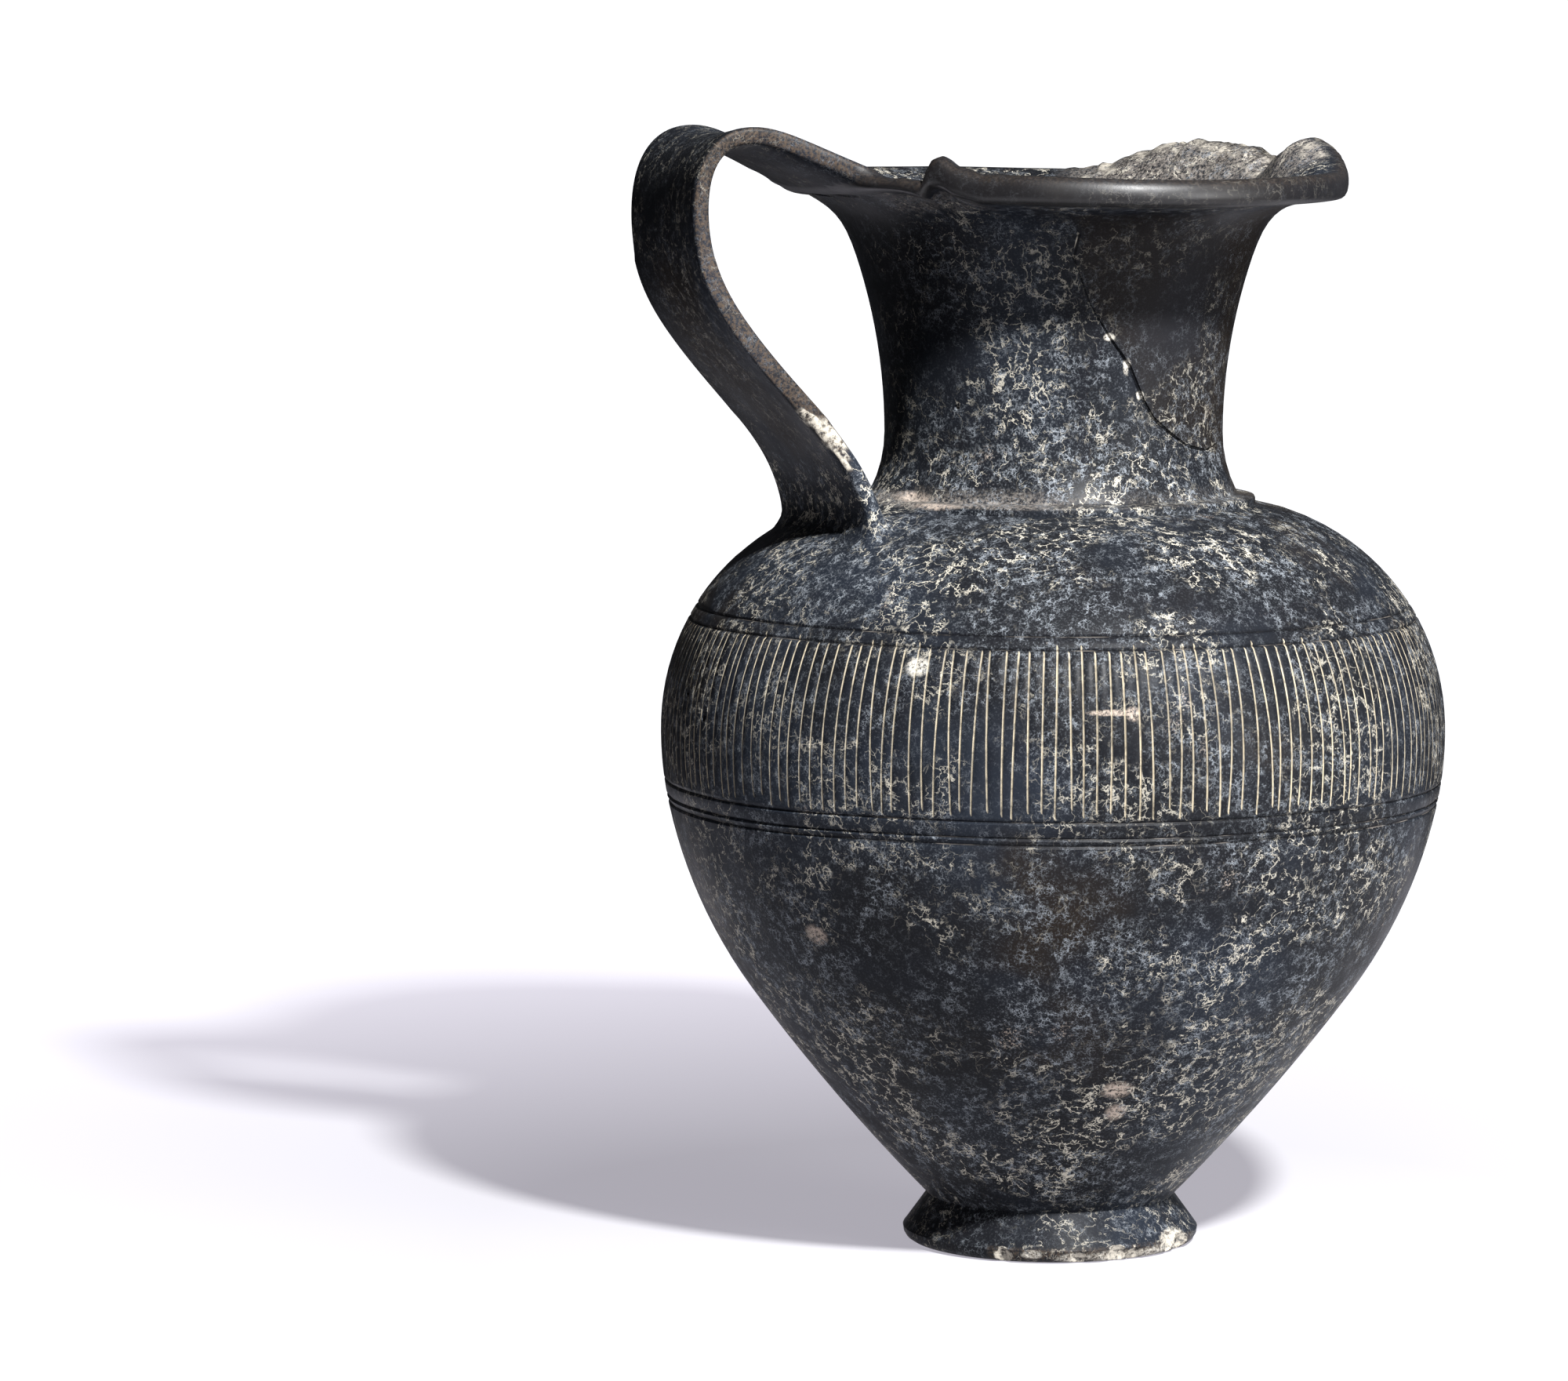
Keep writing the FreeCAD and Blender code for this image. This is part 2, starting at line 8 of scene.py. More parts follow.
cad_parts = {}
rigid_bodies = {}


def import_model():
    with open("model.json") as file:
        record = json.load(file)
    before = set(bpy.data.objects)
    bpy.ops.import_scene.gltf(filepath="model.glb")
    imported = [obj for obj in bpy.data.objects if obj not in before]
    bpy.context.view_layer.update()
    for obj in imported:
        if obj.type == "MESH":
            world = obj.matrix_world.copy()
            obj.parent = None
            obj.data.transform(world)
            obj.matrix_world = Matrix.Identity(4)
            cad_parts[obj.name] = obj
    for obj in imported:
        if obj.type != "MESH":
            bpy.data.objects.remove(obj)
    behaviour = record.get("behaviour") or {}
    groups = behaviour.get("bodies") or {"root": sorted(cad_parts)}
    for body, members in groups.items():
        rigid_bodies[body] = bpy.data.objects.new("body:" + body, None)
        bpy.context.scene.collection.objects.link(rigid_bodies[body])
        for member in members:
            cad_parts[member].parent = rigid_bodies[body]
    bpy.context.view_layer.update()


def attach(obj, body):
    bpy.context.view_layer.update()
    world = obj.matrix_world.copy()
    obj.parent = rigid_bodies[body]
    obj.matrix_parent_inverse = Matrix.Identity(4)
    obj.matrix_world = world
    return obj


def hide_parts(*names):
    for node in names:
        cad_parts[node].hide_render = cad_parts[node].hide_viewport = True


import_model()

mm = 0.001
doubled = 0.002 * mm  # points nearer than this are merged

# An old wine jug of bucchero: clay thrown on the wheel, burnished with a pebble and fired
# black without air. The outline is the CAD solid's, and here it gets its frieze of
# scratched lines, its breaks and chips and its finish.


def linear(hexColour):
    channels = [int(hexColour[i:i + 2], 16) / 255 for i in (1, 3, 5)]
    return [c / 12.92 if c <= 0.04045 else ((c + 0.055) / 1.055) ** 2.4 for c in channels] + [1.0]


def onlyThis(piece):
    if bpy.context.object and bpy.context.object.mode != "OBJECT":
        bpy.ops.object.mode_set(mode="OBJECT")
    bpy.ops.object.select_all(action="DESELECT")
    piece.select_set(True)
    bpy.context.view_layer.objects.active = piece


def edit(piece, mode="VERT"):
    onlyThis(piece)
    bpy.ops.object.mode_set(mode="EDIT")
    bpy.ops.mesh.select_mode(type=mode)
    bpy.ops.mesh.select_all(action="DESELECT")


def leaveEdit():
    bpy.ops.object.mode_set(mode="OBJECT")


# A place in millimetres, from its reach and its turn in degrees round the axis.
def around(out, angle, height):
    turn = math.radians(angle)
    return Vector((out * math.cos(turn), out * math.sin(turn), height))


def reach(point):
    return math.hypot(point.x, point.y)


def turnOf(point):
    return math.atan2(point.y, point.x)


def ease(share):
    share = max(0.0, min(1.0, share))
    return share * share * (3 - 2 * share)


# Value between keys (place, value), with a level start and end at each key.
def eased(keys, at):
    for (start, low), (end, high) in zip(keys, keys[1:]):
        if start <= at <= end:
            return low + (high - low) * ease((at - start) / (end - start))
    return keys[-1][1]


# Outline of the clay, in millimetres (reach from the axis, height). The sizes are the CAD's.

clayForm = {
    "soleMiddle": (12.0, 4.5),
    "footHollow": (25.0, 4.5),
    "soleInside": (29.5, 0.0),
    "footEdge": (37.6, 3.4),
    "waist": (31.4, 12.0),
    "belly": (99.3, 130.9),
    "lowerBelly": (88.6, 112.9),  # arc's radius, height where it ends
    "hip": (123.5, 65.1),
    "upperBelly": (64.3, 140.0),
    "collar": (51.0, 188.6),
    "collarTop": (49.8, 190.7),
    "neckFoot": (46.4, 191.3),
    "neck": (42.7, 206.3),
    "flareArc": 140.0,
    "neckTop": 244.0,
    "bodyWall": 5.6,
    "neckWall": 5.2,
    "floor": (27.5, 16.5),
    "throat": (42.8, 184.0),
    "flare": (53.8, 262.6),
    "lipTop": 271.2,
    "lipHeight": 6.6,
    "lipDepth": 6.0,
    "sideLobe": 83.0,
    "spout": 70.0,
    "mouthBack": 68.0,
    "spoutRise": 7.6,
    "mouthRows": 45,
}
hair = 1e-6  # heights closer than this are one height


# Heights along an arc between two points, with the reach at each.
def arcRows(centre, low, high, rows):
    radius = (low - centre).length
    found = []
    for z in rows:
        if low.y - hair <= z <= high.y + hair:
            side = 1 if low.x > centre.x else -1
            found.append((centre.x + side * math.sqrt(radius ** 2 - (z - centre.y) ** 2), z))
    return found


def arcCentre(start, inward, end):
    chord = end - start
    return start + inward * (chord.dot(chord) / (2 * chord.dot(inward)))


def onArc(centre, radius, z):
    return Vector((centre.x + math.sqrt(radius ** 2 - (z - centre.y) ** 2), z))


# The body's five arcs from the foot up, as (centre, lower end, upper end).
def bodyArcs(wall, foot, top):
    form = clayForm
    belly = Vector((form["belly"][0] - wall, form["belly"][1]))
    lowArc = form["lowerBelly"][0] - wall
    hipArc = form["hip"][0] - wall
    highArc = form["upperBelly"][0] - wall
    lowCentre = belly - Vector((lowArc, 0))
    low = onArc(lowCentre, lowArc, form["lowerBelly"][1])
    hipCentre = low + (lowCentre - low) * (hipArc / lowArc)
    hip = onArc(hipCentre, hipArc, form["hip"][1])
    footCentre = arcCentre(hip, (hipCentre - hip) / hipArc, foot)
    highCentre = belly - Vector((highArc, 0))
    high = onArc(highCentre, highArc, form["upperBelly"][1])
    topCentre = arcCentre(high, (highCentre - high) / highArc, top)
    joints = (foot, hip, low, belly, high, top)
    return list(zip((footCentre, hipCentre, lowCentre, highCentre, topCentre), joints, joints[1:]))


# Points at the heights of rows, which lie between the chain's two ends.
def alongArcs(arcs, rows):
    points = []
    for z in rows:
        for centre, low, high in arcs:
            if z <= high.y + hair:
                points += arcRows(centre, low, high, [z])
                break
    return points


def evenly(low, high, count):
    return [low + (high - low) * step / count for step in range(count + 1)]


# Points up the neck, from its foot to where the mouth's own skin begins.
def neckRows(wall, foot, rows):
    form = clayForm
    narrow = Vector((form["neck"][0] - wall, form["neck"][1]))
    arc = form["flareArc"] + wall
    footCentre = arcCentre(narrow, Vector((1, 0)), foot)
    topCentre = narrow + Vector((arc, 0))
    top = Vector((neckTop(wall)[0], form["neckTop"]))
    return alongArcs([(footCentre, foot, narrow), (topCentre, narrow, top)], rows)


# Reach of the neck's top, and how fast it widens there.
def neckTop(wall):
    arc = clayForm["flareArc"] + wall
    rise = clayForm["neckTop"] - clayForm["neck"][1]
    across = math.sqrt(arc ** 2 - rise ** 2)
    return clayForm["neck"][0] - wall + arc - across, rise / across


# The frieze: upright lines between pairs of turned lines, scratched in the leather-hard clay.

frieze = {
    "turnedLines": (162.8, 159.7, 118.8, 114.9, 113.1),
    "turnedDepth": 0.5,
    "turnedWidth": 1.3,
    "foot": 111.6,
    "top": 164.2,
    "rows": (161.2, 119.9, 120.8, 121.7, 122.6, 123.5, 124.4, 127.0, 130.2, 133.4, 136.6,
             139.8, 143.0, 146.2, 149.4, 152.6, 155.8),
    "rowGap": 0.45,  # a plain row nearer than this to a turned line is left out
    "uprights": 186,
    "uprightFoot": 119.1,
    "uprightTop": 159.9,
    "footSpread": 1.0,
    "topSlips": (0, 0, 0.4, 2.2),  # some strokes began past the turned lines
    "uprightWidth": 0.6,
    "uprightDepth": 0.3,
    "unevenness": 0.16,  # share of the space between two lines
    "lean": 0.9,  # degrees
    "middle": 140.0,
    "plumbFoot": 116,  # below this and above plumbTop the columns stay even
    "plumbTop": 164,
    "plumbRun": 3,
    "waver": 0.3,
}
columns = 2 * frieze["uprights"]


# Heights up the frieze, each with how deep a turned line is there.
def friezeRows():
    half = 0.5 * frieze["turnedWidth"]
    rows = {height: 1.0 for height in frieze["turnedLines"]}
    for height in frieze["turnedLines"]:
        for edge in (height - half, height + half):
            if all(abs(edge - row) > 0.5 for row in rows):
                rows[round(edge, 3)] = 0.0
    for height in (frieze["foot"], frieze["top"], *frieze["rows"]):
        if all(abs(height - row) > frieze["rowGap"] for row in rows):
            rows[height] = 0.0
    return sorted(rows.items())


# The mouth: one cross-section for each direction, and all of them make a lobed, torn funnel.

def lipRadius(angle):
    back, lobe, spout = clayForm["mouthBack"], clayForm["sideLobe"], clayForm["spout"]
    keys = [(-180, back), (-150, back + 4), (-96, lobe), (-24, spout + 3), (0, spout),
            (24, spout + 3), (96, lobe), (150, back + 4), (180, back)]
    return eased(keys, angle) - 0.5 * torn(angle) * abs(noise.noise((angle * 0.31, 4.0, 0.0)))


def lipTop(angle):
    level, rise = clayForm["lipTop"], clayForm["spoutRise"]
    keys = [(-180, level - 1), (-152, level + 0.4), (-141.4, level - 0.4), (-139.6, level + 4.8),
            (-137.6, level + 5.6), (-133.5, level + 3.2), (-128, level + 1.2), (-90, level),
            (-40, level + 0.6), (-28, level + 3.2), (-10, level + rise + 1),
            (4, level + 1.6), (18, level + rise - 1.4), (33, level + rise),
            (64, level - 0.6), (90, level), (152, level + 1), (180, level - 1)]
    notch = 1.3 * math.exp(-((angle - 35.3) / 1.1) ** 2)
    rough = torn(angle) * (0.9 * noise.noise((angle * 0.35, 0.0, 0.0))
                           + 0.6 * noise.noise((angle * 1.1, 9.0, 0.0)) - 0.3)
    return eased(keys, angle) - notch + rough


# How far the lip is a broken edge in this direction: the spout is torn, and the nub by the strap.
def torn(angle):
    spout = ease((angle + 30) / 12) * ease((66 - angle) / 8)
    nub = 0.5 * ease((angle + 162) / 8) * ease((-126 - angle) / 8)
    return max(spout, nub)


# Guide points of the cross-section, up the outside, over the lip and down the inside.
def mouthGuides(angle):
    form = clayForm
    start, lead = form["neckTop"], 4.0
    outer, outerSlope = neckTop(0)
    inner, innerSlope = neckTop(form["neckWall"])
    flare, flareHeight = form["flare"]
    depth, level = form["lipDepth"], form["lipTop"]
    lip, top = lipRadius(angle), lipTop(angle)
    under = level - form["lipHeight"] + 0.5 * (top - level) + 3.4 * ease((abs(angle) - 126) / 24)
    overhang = lip - flare
    return [
        (outer, start),
        (outer + lead * outerSlope, start + lead),
        (flare - 1.6, flareHeight - 4),
        (flare + 0.24 * overhang, flareHeight + 1.2),
        (lip - depth, under),
        (lip + 0.4, under + 0.1),
        (lip + 0.9, 0.5 * (top + under)),
        (lip - 0.2, top + 0.4),
        (lip - 0.8 * depth, top + 0.3),
        (lip - 2 * depth, top - 2.2),
        (flare + 0.5, flareHeight + 2.6),
        (flare - form["neckWall"] - 1.6, flareHeight - 4.6),
        (inner + lead * innerSlope, start + lead),
        (inner, start),
    ]


# Cubic B-spline weights of count guide points at a share of the curve, as {guide: weight}.
def smoothWeights(count, share, closed=False):
    if closed:
        at = share * count
        first, t = math.floor(at), at - math.floor(at)
        basis = ((1 - t) ** 3 / 6, (3 * t ** 3 - 6 * t ** 2 + 4) / 6,
                 (-3 * t ** 3 + 3 * t ** 2 + 3 * t + 1) / 6, t ** 3 / 6)
        return {(first + k - 1) % count: w for k, w in enumerate(basis)}
    spans = count - 3
    knots = [0.0] * 3 + [float(k) for k in range(spans + 1)] + [float(spans)] * 3
    at = min(share * spans, spans - 1e-9)
    span = int(at) + 3
    weights = {span: 1.0}
    for degree in (1, 2, 3):
        fresh = {}
        for i in range(span - degree, span + 1):
            total = 0.0
            if weights.get(i) and knots[i + degree] > knots[i]:
                total += (at - knots[i]) / (knots[i + degree] - knots[i]) * weights[i]
            if weights.get(i + 1) and knots[i + degree + 1] > knots[i + 1]:
                gap = knots[i + degree + 1] - knots[i + 1]
                total += (knots[i + degree + 1] - at) / gap * weights[i + 1]
            fresh[i] = total
        weights = fresh
    return weights


def blendOf(guides, weights):
    return [sum(w * guides[i][k] for i, w in weights.items()) for k in range(len(guides[0]))]


# The clay: one outline from the middle of the sole over the lip to the middle of the floor.
# It comes in two runs of points, before and after the mouth, which has its own rows.

def outlineRuns():
    form = clayForm
    foot = [(0.0, form["soleMiddle"][1]), form["soleMiddle"], form["footHollow"], (27.2, 2.3),
            form["soleInside"]]
    foot += [(31.0, 0.0), (33.0, 0.0), (34.6, 0.05), (35.8, 0.35), (36.8, 1.0), (37.4, 2.0)]
    edge, waist = Vector(form["footEdge"]), Vector(form["waist"])
    foot += [tuple(edge + (waist - edge) * step / 9) for step in range(9)]
    arcs = bodyArcs(0, waist, Vector(form["collar"]))
    rows = [z for z, _ in friezeRows()]
    body = alongArcs(arcs, evenly(waist.y, frieze["foot"], 26)[:-1])
    sunk = [(r - deep * frieze["turnedDepth"], z)
            for (r, z), (_, deep) in zip(alongArcs(arcs, rows), friezeRows())]
    shoulder = alongArcs(arcs, evenly(frieze["top"], form["collar"][1], 12)[1:])
    collar = [(51.0, 189.9), (50.7, 190.5), form["collarTop"], (47.0, 191.1)]
    neckFoot = Vector(form["neckFoot"])
    neck = neckRows(0, neckFoot, evenly(neckFoot.y, form["neckTop"], 14)[:-1])
    throat = Vector(form["throat"])
    inside = neckRows(form["neckWall"], throat, evenly(throat.y, form["neckTop"], 9)[1:-1])
    floor = Vector(form["floor"])
    hollow = alongArcs(bodyArcs(form["bodyWall"], floor, throat), evenly(floor.y, throat.y, 24))
    middle = [(14.0, floor.y), (0.0, floor.y)]
    return foot + body + sunk + shoulder + collar + neck, inside[::-1] + hollow[::-1] + middle


# Spin the outline once round, then give each direction its own cross-section of the mouth.
def spinClay():
    before, after = outlineRuns()
    plain = mouthGuides(90)
    shares = evenly(0.0, 1.0, clayForm["mouthRows"] - 1)
    lip = [blendOf(plain, smoothWeights(len(plain), share)) for share in shares]
    points = before + lip + after
    outline = bpy.data.meshes.new("clayJug")
    outline.from_pydata([(r * mm, 0, z * mm) for r, z in points],
                        [(i, i + 1) for i in range(len(points) - 1)], [])
    clay = bpy.data.objects.new("clayJug", outline)
    bpy.context.collection.objects.link(clay)
    row = outline.attributes.new("row", "INT", "POINT")
    for index in range(len(points)):
        row.data[index].value = index
    edit(clay)
    bpy.ops.mesh.select_all(action="SELECT")
    bpy.ops.mesh.spin(steps=columns, angle=math.tau, center=(0, 0, 0), axis=(0, 0, 1))
    bpy.ops.mesh.select_all(action="SELECT")
    bpy.ops.mesh.remove_doubles(threshold=doubled)
    bpy.ops.mesh.normals_make_consistent(inside=False)
    leaveEdit()
    shapeMouth(clay, len(before))
    return clay


# Rows from first on belong to the mouth.
def shapeMouth(clay, first):
    row = [value.value for value in clay.data.attributes["row"].data]
    rows, guides = clayForm["mouthRows"], len(mouthGuides(0))
    weights = [smoothWeights(guides, share) for share in evenly(0.0, 1.0, rows - 1)]
    sections = {}
    for vertex in clay.data.vertices:
        at = row[vertex.index] - first
        if not 0 <= at < rows:
            continue
        column = round(turnOf(vertex.co) / math.tau * columns)
        angle = (360.0 * column / columns + 180) % 360 - 180
        if column not in sections:
            sections[column] = mouthGuides(angle)
        out, height = blendOf(sections[column], weights[at])
        vertex.co = around(out, angle, height) * mm


# Set the frieze's columns unevenly, widen every second one and push its middle in.
def scratchUprights(clay):
    draw = random.Random(7)
    count = frieze["uprights"]
    space = math.tau / count
    slack = frieze["unevenness"] * space
    shifts = [draw.uniform(-slack, slack) for _ in range(count)]
    leans = [math.tan(math.radians(draw.gauss(0, frieze["lean"]))) for _ in range(count)]
    tops = [frieze["uprightTop"] + draw.choice(frieze["topSlips"]) for _ in range(count)]
    feet = [frieze["uprightFoot"] + abs(draw.gauss(0, frieze["footSpread"])) for _ in range(count)]
    arcs = bodyArcs(0, Vector(clayForm["waist"]), Vector(clayForm["collar"]))

    # a column with an odd number lies midway between two lines
    def columnShift(column, z):
        if column % 2 == 0:
            line = (column // 2) % count
            return shifts[line] + leans[line] * (z - frieze["middle"]) / clayForm["belly"][0]
        return 0.5 * (columnShift(column - 1, z) + columnShift(column + 1, z))

    def fade(z):
        inside = min(z - frieze["plumbFoot"], frieze["plumbTop"] - z)
        return max(0.0, min(1.0, inside / frieze["plumbRun"]))

    def onFrieze(point):
        z = point.z / mm
        if not frieze["foot"] - 0.1 < z < frieze["top"] + 0.1:
            return False
        return reach(point) / mm > alongArcs(arcs, [z])[0][0] - 1.5

    points = clay.data.vertices
    columnOf = {}
    for vertex in points:
        if not onFrieze(vertex.co):
            continue
        column = round(turnOf(vertex.co) / (0.5 * space)) % (2 * count)
        columnOf[vertex.index] = column
        z = vertex.co.z / mm
        turn = 0.5 * space * column + fade(z) * columnShift(column, z)
        radius = reach(vertex.co)
        vertex.co.x = radius * math.cos(turn)
        vertex.co.y = radius * math.sin(turn)

    edit(clay, "EDGE")
    leaveEdit()
    spans = {}
    for edge in clay.data.edges:
        first, second = edge.vertices
        column = columnOf.get(first)
        if column is None or column != columnOf.get(second) or column % 2:
            continue
        line = column // 2
        low, high = sorted((points[first].co.z / mm, points[second].co.z / mm))
        edge.select = low > feet[line] and high < tops[line]
        if edge.select:
            known = spans.get(line, (low, high))
            spans[line] = (min(low, known[0]), max(high, known[1]))
    bpy.ops.object.mode_set(mode="EDIT")
    bpy.ops.mesh.bevel(offset=0.5 * frieze["uprightWidth"] * mm, segments=2, affect="EDGES")
    leaveEdit()

    scratch = clay.data.attributes.new("scratch", "FLOAT", "POINT")
    turned = clay.data.attributes.new("turned", "FLOAT", "POINT")
    bottoms = [height for height, deep in friezeRows() if deep]
    for vertex in clay.data.vertices:
        if not onFrieze(vertex.co):
            continue
        z = vertex.co.z / mm
        if any(abs(z - bottom) < 0.02 for bottom in bottoms):
            turned.data[vertex.index].value = 1.0
        line = round(turnOf(vertex.co) / space)
        for near in (line - 1, line, line + 1):
            near %= count
            turn = space * near + fade(z) * columnShift(2 * near, z)
            off = (turnOf(vertex.co) - turn + math.pi) % math.tau - math.pi
            low, high = spans.get(near, (0, 0))
            if abs(off) * reach(vertex.co) < 0.05 * mm and low + 0.1 < z < high - 0.1:
                sunk = 1 - frieze["uprightDepth"] * mm * draw.uniform(0.6, 1.0) / reach(vertex.co)
                vertex.co.x *= sunk
                vertex.co.y *= sunk
                scratch.data[vertex.index].value = draw.uniform(0.6, 1.0)

    # the wheel wavers a little, so the lines do too
    for vertex in clay.data.vertices:
        if onFrieze(vertex.co):
            z = vertex.co.z / mm
            hold = ease(min(z - frieze["foot"], frieze["top"] - z) / 2)
            way = Vector((math.cos(turnOf(vertex.co)), math.sin(turnOf(vertex.co)), z * 0.009))
            vertex.co.z += hold * frieze["waver"] * mm * noise.noise(way * 2.3)


# The strap: a ribbon of clay bent from the back of the lip to the shoulder.

strap = {
    "thickness": 5.2,
    "width": 43.0,
    "rootWidth": 58.0,
    "mouthWidth": 66.0,
    "hollow": 4.8,
    "crown": (88.0, 284.0),
    "back": (106.2, 260.0),
    "root": (63.0, 180.0),
    "rowsAlong": 84,
    "rowsAcross": 56,
    "jointAngle": 24,  # edges sharper than this are joints, in degrees
    "jointReach": 50,
    "jointHalf": 38,
    "rootJoint": (177, 202),
    "mouthJoint": 260,
    "softRows": 4,
    "softTimes": 14,
}


# Places along the outer edge (reach, height) with the width and the hollow there.
def strapStations():
    root, rootHeight = strap["root"]
    back, backHeight = strap["back"]
    crown, crownHeight = strap["crown"]
    width, rootWidth, mouthWidth = strap["width"], strap["rootWidth"], strap["mouthWidth"]
    hollow, lip = strap["hollow"], clayForm["lipTop"]
    climb, lean = backHeight - rootHeight, back - root
    return [
        (root - 1, rootHeight, rootWidth, 0.0),
        (root, rootHeight + 0.11 * climb, rootWidth, 0.0),
        (root + 0.10 * lean, rootHeight + 0.26 * climb, 0.9 * rootWidth, 0.0),
        (root + 0.50 * lean, rootHeight + 0.48 * climb, 0.84 * rootWidth, 0.1 * hollow),
        (root + 0.88 * lean, rootHeight + 0.72 * climb, width + 5, 0.3 * hollow),
        (back + 1, backHeight - 0.08 * climb, width + 1, 0.4 * hollow),
        (back + 1, backHeight + 0.55 * (crownHeight - backHeight), width, 0.5 * hollow),
        (crown + 0.62 * (back - crown), crownHeight - 0.2, width, 0.6 * hollow),
        (crown, crownHeight + 1.2, width, 0.8 * hollow),
        (crown - 9, crownHeight - 1.6, width + 4, hollow),
        (crown - 21, lip + 0.42 * (crownHeight - lip), mouthWidth - 12, hollow),
        (crown - 29, lip + 1.6, mouthWidth, 0.9 * hollow),
    ]


# Guide points across the strap: hollow outer face, rounded edges, bowed inner face.
def strapRing(place, outward, width, hollow):
    half, thick, tuck = 0.5 * width, strap["thickness"], 0.5
    across = (-1.0, -0.96, -0.5, 0.5, 0.96, 1.0)
    ring = [(share * half, -tuck if abs(share) == 1 else -hollow * (1 - share ** 2))
            for share in across]
    ring += [(share * half, tuck - thick if abs(share) == 1 else -thick - hollow * (1 - share ** 2))
             for share in reversed(across)]
    return [place + Vector((0, side, 0)) + outward * out for side, out in ring]


# A grid rolled into a tube round the strap's guide rings, with both ends filled.
def makeStrap():
    stations = strapStations()
    centres = [Vector((-station[0], 0, station[1])) for station in stations]
    rings = []
    for index, (_, _, width, hollow) in enumerate(stations):
        along = centres[min(index + 1, len(centres) - 1)] - centres[max(index - 1, 0)]
        along.normalize()
        rings.append(strapRing(centres[index], Vector((-along.z, 0, along.x)), width, hollow))
    lengthways, crossways = strap["rowsAlong"], strap["rowsAcross"]
    bpy.ops.object.select_all(action="DESELECT")
    bpy.ops.mesh.primitive_grid_add(x_subdivisions=lengthways, y_subdivisions=crossways, size=1)
    piece = bpy.context.object
    piece.name = "strap"
    for vertex in piece.data.vertices:
        along = smoothWeights(len(rings), vertex.co.x + 0.5)
        across = smoothWeights(len(rings[0]), (vertex.co.y + 0.5) % 1.0, closed=True)
        place = Vector((0, 0, 0))
        for i, lengthShare in along.items():
            for k, share in across.items():
                place += rings[i][k] * (lengthShare * share)
        vertex.co = place * mm
    edit(piece, "EDGE")
    bpy.ops.mesh.select_all(action="SELECT")
    bpy.ops.mesh.remove_doubles(threshold=doubled)
    bpy.ops.mesh.select_all(action="DESELECT")
    bpy.ops.mesh.select_non_manifold()
    bpy.ops.mesh.fill_holes(sides=0)
    bpy.ops.mesh.select_all(action="SELECT")
    bpy.ops.mesh.normals_make_consistent(inside=False)
    leaveEdit()
    return piece


# Press the strap on: one skin of clay over both.
def lute(clay, piece):
    onlyThis(clay)
    union = clay.modifiers.new("lute", "BOOLEAN")
    union.object = piece
    union.operation = "UNION"
    union.solver = "EXACT"
    bpy.ops.object.modifier_apply(modifier="lute")
    bpy.data.objects.remove(piece)
    smoothJoint(clay)


# Where the strap was pressed on, the wet clay was drawn into a soft hollow with a finger. Only
# the sharp edges at the strap's root and under its mouth end are smoothed.
def smoothJoint(clay):
    edit(clay, "EDGE")
    bpy.ops.mesh.edges_select_sharp(sharpness=math.radians(strap["jointAngle"]))
    leaveEdit()
    points = clay.data.vertices
    rootFoot, rootTop = strap["rootJoint"]
    joints = []
    for edge in clay.data.edges:
        middle = 0.5 * (points[edge.vertices[0]].co + points[edge.vertices[1]].co) / mm
        atStrap = middle.x < -strap["jointReach"] and abs(middle.y) < strap["jointHalf"]
        atEnd = rootFoot < middle.z < rootTop or middle.z > strap["mouthJoint"]
        if edge.select and atStrap and atEnd:
            joints.append(edge.index)
    edit(clay, "EDGE")
    leaveEdit()
    for index in joints:
        edge = clay.data.edges[index]
        edge.select = True
        for end in edge.vertices:
            points[end].select = True
    bpy.ops.object.mode_set(mode="EDIT")
    for _ in range(strap["softRows"]):
        bpy.ops.mesh.select_more()
    bpy.ops.mesh.vertices_smooth(factor=0.5, repeat=strap["softTimes"])
    leaveEdit()


# Breaks: where a flake has gone, the edge is pressed back to a hollow, (angle, height, reach, size).

breaks = {
    "foot": ((-133, 1.0, 38.8, 3.2), (-104, 0.2, 38.4, 3.0), (-88, 0.6, 39.6, 4.4),
             (-80, 0.2, 38.8, 3.4), (-60, 3.4, 41.8, 6.4), (-52, 1.0, 39.8, 4.6),
             (20, 1.0, 38.8, 3.2), (150, 1.2, 38.8, 3.0)),
    "lip": ((-20, 282.4, 75.6, 3.4), (-14, 282.6, 71.5, 3.6), (24, 281.2, 74.6, 3.2),
            (30, 281.6, 74.8, 3.0), (41, 280.0, 77.2, 3.2), (50, 276.8, 79.4, 3.4),
            (57, 275.2, 80.0, 3.0), (8, 277.4, 71.6, 2.6), (104, 274.2, 84.6, 3.2)),
    "strapEdge": ((-160.6, 211.0, 84.6, 5.2), (-159.2, 205.0, 80.4, 5.0),
                  (-157.5, 199.0, 77.4, 4.6), (-156.4, 194.4, 75.0, 4.0)),
}


# Press the surface back round each place, and mark the raw clay that this bares.
def breakEdges(clay):
    raw = clay.data.attributes.new("raw", "FLOAT", "POINT")
    for places in breaks.values():
        for angle, height, out, size in places:
            centre = around(out, angle, height) * mm
            for vertex in clay.data.vertices:
                gap = vertex.co - centre
                if max(abs(gap.x), abs(gap.y), abs(gap.z)) > 1.4 * size * mm:
                    continue
                reachHere = size * mm * (1 + 0.16 * noise.noise(vertex.co * 900))
                if gap.length < reachHere:
                    pressed = centre + gap * (reachHere / gap.length)
                    lowest = vertex.co.z if vertex.co.z < 0.2 * mm else 0.0  # the sole stays level
                    pressed.z = max(pressed.z, lowest)
                    vertex.co = pressed
                    raw.data[vertex.index].value = 1.0


# Pits of burnt-out grit, (angle, height, reach, half width, half height), and the open crack down
# the mended neck, (angle, height, width as a multiple of crackWidth).

